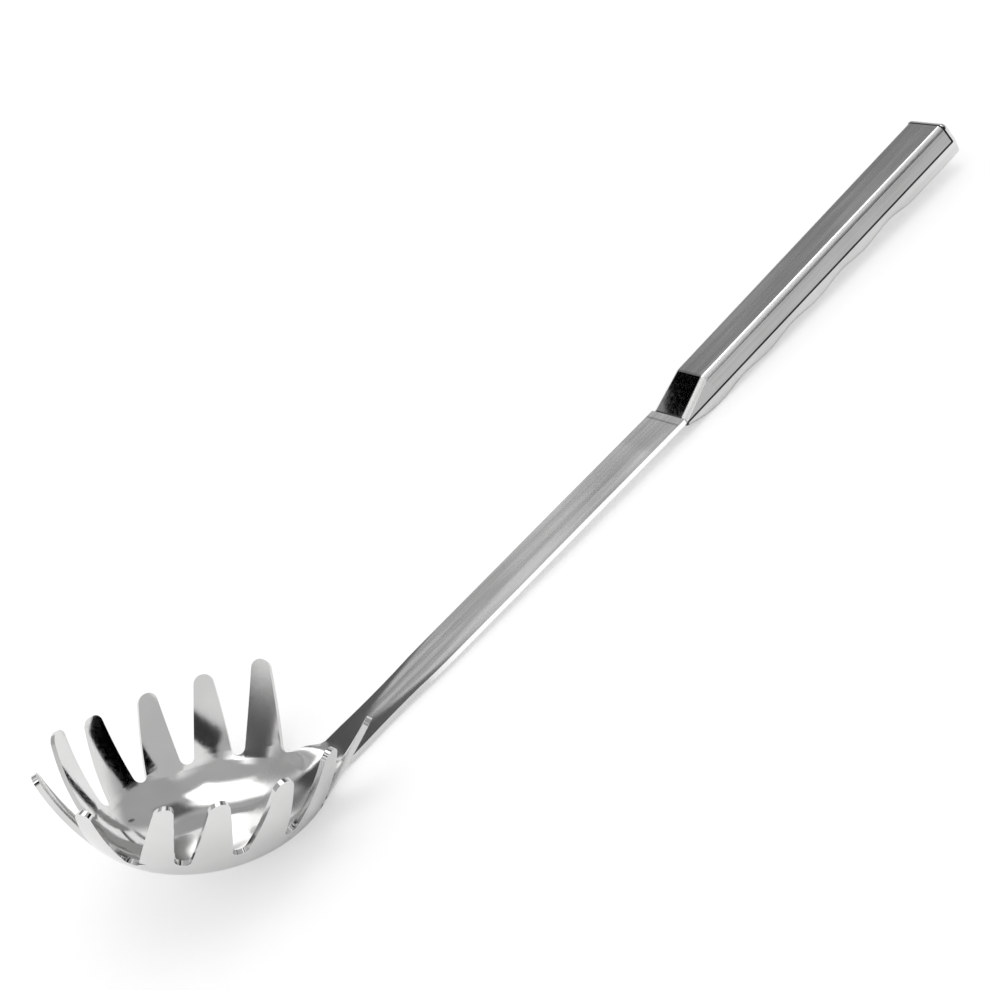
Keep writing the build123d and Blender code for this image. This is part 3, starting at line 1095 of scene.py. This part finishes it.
@dataclass(frozen=True)
class Handle:
    """The handle's two shells, in millimetres and degrees, on the seam plane's axes."""

    length: float = 126.0
    front_width: float = 16.4
    end_width: float = 17.8
    top_height: float = 6.2
    sheet: float = 1.5
    side_draft: float = 9.0
    ridge_radius: float = 1.7
    upper_ridge_segments: int = 7
    cap_ridge_segments: int = 6
    step_length: float = 13.4
    step_reach: float = 0.5
    step_drop: float = 1.8
    step_lean: float = 0.1
    step_bevel: float = 0.5
    step_segments: int = 3
    cap_depth: float = 1.6
    cap_rounding: float = 1.2
    cap_segments: int = 5
    proud: float = 0.35
    front_depth: float = 1.2
    crest_depth: float = 4.4
    hollow_depth: float = 3.4
    end_depth: float = 5.1
    pitch: float = 22.5
    first_crest: float = 13.0
    hollows: int = 4
    bottom_radius: float = 2.6
    bottom_segments: int = 6
    grip_draft: float = 12.0
    fit: float = 0.15
    seam_bevel: float = 0.18
    seam_segments: int = 2
    nose_cuts: tuple[float, ...] = (0.5, 1.2, 2.2, 3.4, 4.8, 6.4, 8.0, 9.6, 11.3)
    wave_cuts: int = 74
    wave_cut_pitch: float = 1.5
    touch: float = 0.01
    smooth_angle: float = 35.0
    flat_weight: int = 80
    merge_distance: float = 0.001

    def half_width(self, place: float) -> float:
        """Gives half of the upper shell's width at the seam."""
        return mix(self.front_width, self.end_width, place / self.length) / 2.0

    def grip_depth(self, place: float) -> float:
        """Gives the lower shell's depth: a rising nose, waves for the fingers and a deep end."""
        if place < self.first_crest:
            rise = math.sin(math.pi / 2.0 * place / self.first_crest)
            return mix(self.front_depth, self.crest_depth, rise)
        last_hollow = self.first_crest + (self.hollows - 0.5) * self.pitch
        crest = self.crest_depth if place < last_hollow else self.end_depth
        if place > last_hollow + self.pitch / 2.0:
            return self.end_depth
        swing = 0.5 - 0.5 * math.cos(2.0 * math.pi * (place - self.first_crest) / self.pitch)
        return mix(crest, self.hollow_depth, swing)

    def runs_along(self, spots: Sequence[Vector]) -> bool:
        """Says whether an edge runs lengthwise on one side of the handle."""
        return spots[0].y * spots[1].y > 0 and abs(spots[0].x - spots[1].x) > 2.0 * self.touch

    @staticmethod
    def block(name: str, size: Place, middle: float) -> Piece:
        """Adds a block that starts at the handle's front, and opens it in edit mode.

        Args:
            name: the piece's name.
            size: its length, width and height.
            middle: the height of its middle.

        Returns:
            The block.
        """
        bpy.ops.object.select_all(action="DESELECT")
        place = (size[0] / 2.0, 0, middle)
        bpy.ops.mesh.primitive_cube_add(size=1.0, location=place, scale=size)
        piece = bpy.context.object
        piece.name = name
        bpy.ops.object.transform_apply(location=True, rotation=True, scale=True)
        bpy.ops.object.mode_set(mode="EDIT")
        return piece

    def upper_shell(self) -> Piece:
        """Shapes the upper shell from a block: drafted sides, a sloped step and rounded ridges.

        Returns:
            The upper shell on the handle's axes, in millimetres.
        """
        end = self.length - self.cap_depth - self.fit
        top, touch = self.top_height, self.touch
        lean = math.tan(math.radians(self.side_draft))
        piece = self.block("server_handle_upper_shell", (end, 1.0, top), top / 2.0)
        bisect_at(self.step_length)
        for place, height in ((0.0, self.sheet), (self.step_length, top), (end, top)):
            for low in (True, False):
                choose(
                    piece, Selection.VERTICES,
                    lambda spots: abs(spots[0].x - place) < touch and (spots[0].z < touch) == low,
                )
                wide = 2.0 * (self.half_width(place) - (0.0 if low else height * lean))
                bpy.ops.transform.resize(value=(1.0, wide, 1.0), center_override=(place, 0, 0))
        choose(piece, Selection.VERTICES, lambda spots: spots[0].x < touch and spots[0].z > touch)
        bpy.ops.transform.translate(value=(0, 0, self.sheet - top))
        choose(
            piece, Selection.EDGES,
            lambda spots: all(spot.z > self.sheet - touch for spot in spots)
            and self.runs_along(spots),
        )
        bevel_chosen(self.ridge_radius, self.upper_ridge_segments, clamped=False)
        choose(
            piece, Selection.EDGES,
            lambda spots: all(
                abs(spot.x - self.step_length) < self.step_reach and spot.z > top - self.step_drop
                for spot in spots
            ) and abs(spots[0].x - spots[1].x) < self.step_lean,
        )
        bevel_chosen(self.step_bevel, self.step_segments)
        choose(
            piece, Selection.EDGES,
            lambda spots: all(spot.z < touch for spot in spots)
            or all(spot.x > end - touch for spot in spots)
            or all(spot.x < touch for spot in spots),
        )
        bevel_chosen(self.seam_bevel, self.seam_segments)
        return self.finish_shell(piece)

    def lower_shell(self) -> Piece:
        """Shapes the lower shell from a block: a waved bottom, and a cap that stands up at the end.

        Returns:
            The lower shell on the handle's axes, in millimetres.
        """
        piece = self.block("server_handle_lower_shell", (self.length, 2.0, 1.0), -0.5)
        cap, touch = self.length - self.cap_depth, self.touch
        waves = (self.first_crest + self.wave_cut_pitch * step for step in range(self.wave_cuts))
        for cut in (*self.nose_cuts, *waves, cap):
            bisect_at(cut)
        choose(
            piece, Selection.FACES,
            lambda spots: all(spot.z > -touch and spot.x > cap - touch for spot in spots),
        )
        bpy.ops.mesh.extrude_region_move(TRANSFORM_OT_translate={"value": (0, 0, self.top_height)})
        bpy.ops.object.mode_set(mode="OBJECT")
        self.widen(piece)
        bpy.ops.object.mode_set(mode="EDIT")
        choose(
            piece, Selection.EDGES,
            lambda spots: all(spot.z < -1.0 for spot in spots) and self.runs_along(spots),
        )
        bevel_chosen(self.bottom_radius, self.bottom_segments)
        choose(
            piece, Selection.EDGES,
            lambda spots: all(spot.z > 1.0 for spot in spots) and self.runs_along(spots),
        )
        bevel_chosen(self.ridge_radius, self.cap_ridge_segments, clamped=False)
        choose(
            piece, Selection.EDGES,
            lambda spots: all(spot.x > self.length - touch for spot in spots),
        )
        bevel_chosen(self.cap_rounding, self.cap_segments)
        return self.finish_shell(piece)

    def widen(self, piece: Piece) -> None:
        """Gives the lower shell's block, one deep and with its cap up, its width and waves."""
        draft = math.tan(math.radians(self.side_draft))
        grip = math.tan(math.radians(self.grip_draft))
        for vertex in piece.data.vertices:
            wide = self.half_width(vertex.co.x) + self.proud
            if vertex.co.z > 1.0:
                wide -= self.top_height * draft
            elif vertex.co.z < -0.5:
                vertex.co.z = -self.grip_depth(vertex.co.x)
                wide += vertex.co.z * grip
            vertex.co.y = math.copysign(wide, vertex.co.y)

    def finish_shell(self, piece: Piece) -> Piece:
        """Closes a shell, and shades its flats flat and its rounds round."""
        bpy.ops.object.mode_set(mode="OBJECT")
        close_mesh(piece, self.merge_distance)
        bpy.ops.object.shade_smooth_by_angle(angle=math.radians(self.smooth_angle))
        apply_modifier(piece, "WEIGHTED_NORMAL", weight=self.flat_weight, keep_sharp=True)
        return piece


SERVER_PLACE = (0.0, 0.0, 0.03)
BOWL_PLACE = (-0.12, 0.0, 0.03)
STEP_PLACE = (0.0474, 0.0, 0.0079)
RIPPLE_SCALE, RIPPLE_DETAIL = 2.4, 1.0


@dataclass(frozen=True)
class Card:
    """A studio card that only shiny surfaces see.

    Its heading, from +Y towards +X, and its elevation are seen from a place on the server, and
    so are its width and height; all are angles in degrees. Softness is the share of it that
    fades out towards its edges. Roll turns it about the line to that place, and wave ripples
    its edges. Nearer cards hide farther ones.
    """

    name: str
    heading: float
    elevation: float
    width: float
    height: float
    strength: float
    softness: float
    distance: float
    seen_from: Place = SERVER_PLACE
    roll: float = 0.0
    wave: float = 0.0

    def build(self) -> None:
        """Sets the card up, facing the place that it is seen from."""
        heading, elevation = math.radians(self.heading), math.radians(self.elevation)
        level = math.cos(elevation)
        back = Vector((math.sin(heading) * level, math.cos(heading) * level, math.sin(elevation)))
        place = back * self.distance + Vector(self.seen_from)
        bpy.ops.object.select_all(action="DESELECT")
        bpy.ops.mesh.primitive_plane_add(size=2.0, location=place)
        card = bpy.context.object
        card.name = self.name
        card.rotation_mode = "QUATERNION"
        roll = Quaternion((0, 0, 1), math.radians(self.roll))
        card.rotation_quaternion = back.to_track_quat("Z", "Y") @ roll
        wide, high = (
            math.tan(math.radians(angle / 2.0)) * self.distance
            for angle in (self.width, self.height)
        )
        card.scale = (wide, high, 1.0)
        card.visible_camera = card.visible_diffuse = card.visible_shadow = False
        card.data.materials.append(self.glow())

    def glow(self) -> Material:
        """Makes the card's light, which turns clear at its edges."""
        material = bpy.data.materials.new(self.name)
        tree = NodeTree.of(material)
        place = tree.add("ShaderNodeTexCoord").outputs["Object"]
        split = tree.add("ShaderNodeSeparateXYZ", Vector=place)
        ripple = tree.add(
            "ShaderNodeTexNoise", Vector=place, Scale=RIPPLE_SCALE, Detail=RIPPLE_DETAIL
        )
        edges = []
        for axis in "XY":
            size = tree.math("ABSOLUTE", split.outputs[axis])
            waved = tree.math("MULTIPLY_ADD", ripple.outputs["Fac"], self.wave, size)
            edges.append(tree.fall(waved, 1.0 - self.softness, 1.0))
        clear = tree.add("ShaderNodeBsdfTransparent")
        glow = tree.add("ShaderNodeEmission", Strength=self.strength)
        tree.blend(tree.math("MULTIPLY", *edges), clear, glow)
        return material


@dataclass(frozen=True)
class Studio:
    """The floor, the light, the cards and the camera."""

    world_strength: float = 0.93
    floor_size: float = 9.0
    floor_glow: float = 0.5
    lamp_energy: float = 7.0
    lamp_size: Pair = (1.3, 1.1)
    lamp_place: Place = (0.45, -0.35, 1.9)
    lens: float = 90.9
    sensor_width: float = 36.0
    clip: Pair = (0.01, 50.0)
    camera_place: Place = (-0.21960, -0.58970, 0.36346)
    camera_right: Place = (0.6930, -0.5219, -0.4974)
    camera_up: Place = (0.6622, 0.1880, 0.7254)
    cards: tuple[Card, ...] = (
        Card("ceiling_grey", 0.0, 74.0, 104.0, 96.0, 0.50, 0.3, 2.9),
        Card("side_grey", 92.0, 30.0, 70.0, 56.0, 0.46, 0.4, 2.7, BOWL_PLACE),
        Card("shaft_grey", 30.0, 32.0, 42.0, 26.0, 0.42, 0.25, 2.5),
        Card("neck_dark", 8.0, 31.0, 17.0, 14.0, 0.03, 0.6, 2.3, BOWL_PLACE),
        Card("step_black", -5.0, 39.0, 16.0, 12.6, 0.0, 0.08, 0.1, STEP_PLACE, wave=0.5),
        Card("back_softbox", 42.0, 66.0, 46.0, 34.0, 2.2, 0.5, 2.0, BOWL_PLACE),
        Card("base_softbox", -130.0, 77.5, 32.0, 9.0, 2.2, 0.8, 1.9, BOWL_PLACE, -21.0),
        Card("left_softbox", -90.0, 63.5, 30.0, 12.0, 1.32, 0.15, 1.8, BOWL_PLACE),
        Card("handle_softbox", 72.0, 66.0, 30.0, 24.0, 3.2, 0.5, 1.95),
        Card("third_tine_black", 125.0, 11.0, 36.0, 34.0, 0.0, 0.08, 0.4, BOWL_PLACE, -34.0),
        Card("fourth_tine_grey", 148.0, 31.0, 38.0, 38.0, 0.62, 0.12, 2.4, BOWL_PLACE),
        Card("fifth_tine_dark", -178.0, 50.5, 15.0, 32.0, 0.05, 0.3, 2.1, BOWL_PLACE, 21.0),
        Card("sixth_tine_dark", -98.0, 71.2, 30.0, 9.0, 0.0, 0.08, 1.7, BOWL_PLACE, 12.0),
        Card("bowl_dark", 72.0, 40.0, 26.0, 22.0, 0.14, 0.6, 2.1, BOWL_PLACE),
        Card("low_line_dark", 45.0, 4.0, 60.0, 3.0, 0.10, 0.4, 2.6, BOWL_PLACE),
        Card("high_line_dark", 40.0, 13.0, 50.0, 3.0, 0.15, 0.4, 2.6, BOWL_PLACE),
    )

    def light(self) -> None:
        """Sets a white world and one soft lamp overhead that shiny surfaces don't see."""
        world = bpy.data.worlds.new("studio_world")
        bpy.context.scene.world = world
        tree = NodeTree.of(world)
        seen = tree.add("ShaderNodeLightPath").outputs
        either = tree.math("MAXIMUM", seen["Is Camera Ray"], seen["Is Glossy Ray"])
        level = tree.add("ShaderNodeMapRange", Value=either, To_Min=self.world_strength, To_Max=1.0)
        sky = tree.add("ShaderNodeBackground", Color=WHITE, Strength=level.outputs["Result"])
        tree.add("ShaderNodeOutputWorld", Surface=sky.outputs[0])
        lamp = bpy.data.lights.new("overhead_softbox", "AREA")
        lamp.shape, lamp.energy = "RECTANGLE", self.lamp_energy
        lamp.size, lamp.size_y = self.lamp_size
        holder = bpy.data.objects.new("overhead_softbox", lamp)
        bpy.context.collection.objects.link(holder)
        holder.location = self.lamp_place
        holder.visible_glossy = False
        holder.rotation_mode = "QUATERNION"
        holder.rotation_quaternion = Vector(self.lamp_place).to_track_quat("Z", "Y")

    def floor(self) -> None:
        """Lays a white floor under the object, lifted towards white for the camera."""
        bpy.ops.object.select_all(action="DESELECT")
        bpy.ops.mesh.primitive_plane_add(size=self.floor_size)
        floor = bpy.context.object
        floor.name = "studio_floor"
        material = bpy.data.materials.new("floor_white")
        tree = NodeTree.of(material)
        seen = tree.add("ShaderNodeLightPath").outputs["Is Camera Ray"]
        share = tree.math("MULTIPLY", seen, self.floor_glow)
        white = tree.add("ShaderNodeBsdfDiffuse", Color=WHITE)
        tree.blend(share, white, tree.add("ShaderNodeEmission"))
        floor.data.materials.append(material)

    def camera(self) -> None:
        """Sets the camera at the photograph's place and angle."""
        data = bpy.data.cameras.new("photo_camera")
        data.lens, data.sensor_width = self.lens, self.sensor_width
        data.clip_start, data.clip_end = self.clip
        camera = bpy.data.objects.new("photo_camera", data)
        bpy.context.collection.objects.link(camera)
        right, up = Vector(self.camera_right).normalized(), Vector(self.camera_up)
        up = (up - right * up.dot(right)).normalized()
        turn = Matrix((right, up, right.cross(up))).transposed().to_4x4()
        camera.matrix_world = Matrix.Translation(self.camera_place) @ turn
        bpy.context.scene.camera = camera

    def build(self) -> None:
        """Sets up the whole studio."""
        self.camera()
        self.light()
        self.floor()
        for card in self.cards:
            card.build()
            LOG.info("card %s at %.0f, %.0f", card.name, card.heading, card.elevation)
        bpy.context.scene.view_settings.view_transform = "Standard"


def fit_piece(piece: Piece, node: str, steel: Steel) -> None:
    """Dresses a finished piece and ties it to the frame.

    Args:
        piece: the piece, in place.
        node: the CAD node that it stands for.
        steel: its finish.
    """
    piece.data.materials.clear()
    piece.data.materials.append(steel.build())
    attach(piece, "root")
    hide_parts(node)
    LOG.info(
        "%s: %d faces, %d open edges", piece.name, len(piece.data.polygons), open_edges(piece.data)
    )


def main() -> None:
    """Builds the server piece by piece, then the studio round it."""
    resting, bowl, handle = RestingPlace(), Bowl(), Handle()
    shaft_tilt = resting.shaft_slope - resting.turn
    handle_tilt = shaft_tilt + resting.handle_tilt
    shaft_origin = tuple(resting.level() @ Vector((bowl.rim_radius, 0.0, bowl.root[1])))
    handle_origin = tuple(resting.handle() @ Vector((0.0, 0.0, 0.0)))
    server = bowl.build()
    resting.settle(server, resting.level())
    fit_piece(server, "bowl_and_shaft", ServerSteel(
        "polished_to_brushed_steel", shaft_origin, shaft_tilt, colour=0.70, shade=0.45,
        roughness=0.27, grain_bump=0.16, wave_bump=0.10,
    ))
    upper = handle.upper_shell()
    resting.settle(upper, resting.handle())
    # shade sets how dark the painted shade lines at the shells' joints are
    fit_piece(upper, "handle_upper_shell", ShellSteel(
        "brushed_handle_steel", handle_origin, handle_tilt, colour=0.42, shade=0.85,
        roughness=0.27, grain_bump=0.2, wave_bump=0.06, polished_until=0.0133,
    ))
    lower = handle.lower_shell()
    resting.settle(lower, resting.handle())
    fit_piece(lower, "handle_lower_shell", ShellSteel(
        "polished_shell_steel", handle_origin, handle_tilt, colour=0.68, shade=0.85,
        roughness=0.2, grain_bump=0.2, wave_bump=0.08, brushed=0.4, above=False,
    ))
    Studio().build()


if __name__ == "__main__":
    main()
